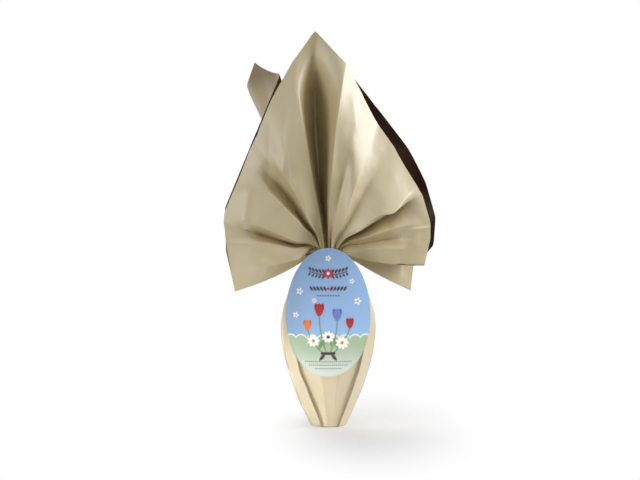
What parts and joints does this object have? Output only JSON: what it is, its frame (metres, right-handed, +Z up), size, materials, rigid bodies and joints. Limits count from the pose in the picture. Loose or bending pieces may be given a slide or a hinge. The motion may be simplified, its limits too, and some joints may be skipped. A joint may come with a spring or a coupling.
{
  "type": "wrapped chocolate egg",
  "caption": "Chocolate egg standing in pleated cream and brown gift paper that is tied at the neck and flares out above it, with an oval card on the belly.",
  "frame": {"origin": "centre of the flat base, on the surface that the egg stands on", "axes": "+Z up to the paper's tip, -Y out of the card, +X to the right as seen from the card's side"},
  "size_m": [0.22, 0.1721, 0.4077],
  "materials": {
    "gift_paper": "satin pearl outside, dark brown lining",
    "printed_card": "satin print",
    "elastic_cord": "matt woven cover"
  },
  "bodies": {
    "root": {"wrapped_egg": "gift_paper", "card": "printed_card", "tie": "elastic_cord"}
  },
  "joints": []
}
